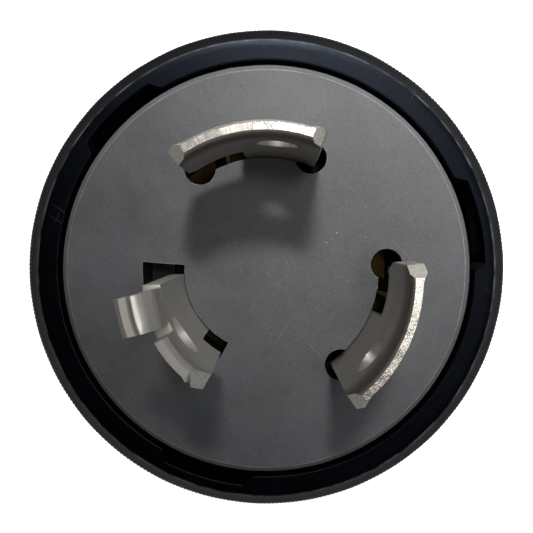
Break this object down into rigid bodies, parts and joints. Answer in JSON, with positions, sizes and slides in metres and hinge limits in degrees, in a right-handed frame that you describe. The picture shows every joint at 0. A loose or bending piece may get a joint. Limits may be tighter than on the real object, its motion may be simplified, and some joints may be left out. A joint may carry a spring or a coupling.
{
  "type": "locking power plug",
  "caption": "Locking power plug with curved blades in a round grey face, a black moulded housing with a ribbed rim, and a cord clamp at its rear.",
  "frame": {"origin": "centre of the rear rest plane, on the plug's axis", "axes": "+Z along the plug's axis towards the blades, +Y towards line blade Y, +X across the cord clamp's ears"},
  "size_m": [0.0524, 0.0524, 0.0913],
  "materials": {
    "shell": "satin moulded nylon",
    "face": "satin moulded nylon",
    "insulator": "matte moulded nylon",
    "blades": "nickel plated, lightly brushed",
    "terminals": "plain brass",
    "ground_screw": "green dyed",
    "fasteners": "zinc plated",
    "seal": "soft black"
  },
  "bodies": {
    "root": {"housing": "shell", "blade_carrier": "face", "terminal_retainer": "insulator", "line_blade_x": "blades", "line_blade_y": "blades", "ground_blade": "blades", "wire_clamp_x": "terminals", "wire_clamp_y": "terminals", "wire_clamp_ground": "terminals", "terminal_screw_x": "terminals", "terminal_screw_y": "terminals", "terminal_screw_ground": "ground_screw", "threaded_inserts": "terminals", "assembly_screws": "fasteners", "retainer_screw": "fasteners", "rear_cap": "shell", "cord_clamp_jaw": "shell", "cord_clamp_screws": "fasteners", "cord_clamp_nuts": "fasteners", "cord_seal": "seal"}
  },
  "joints": []
}
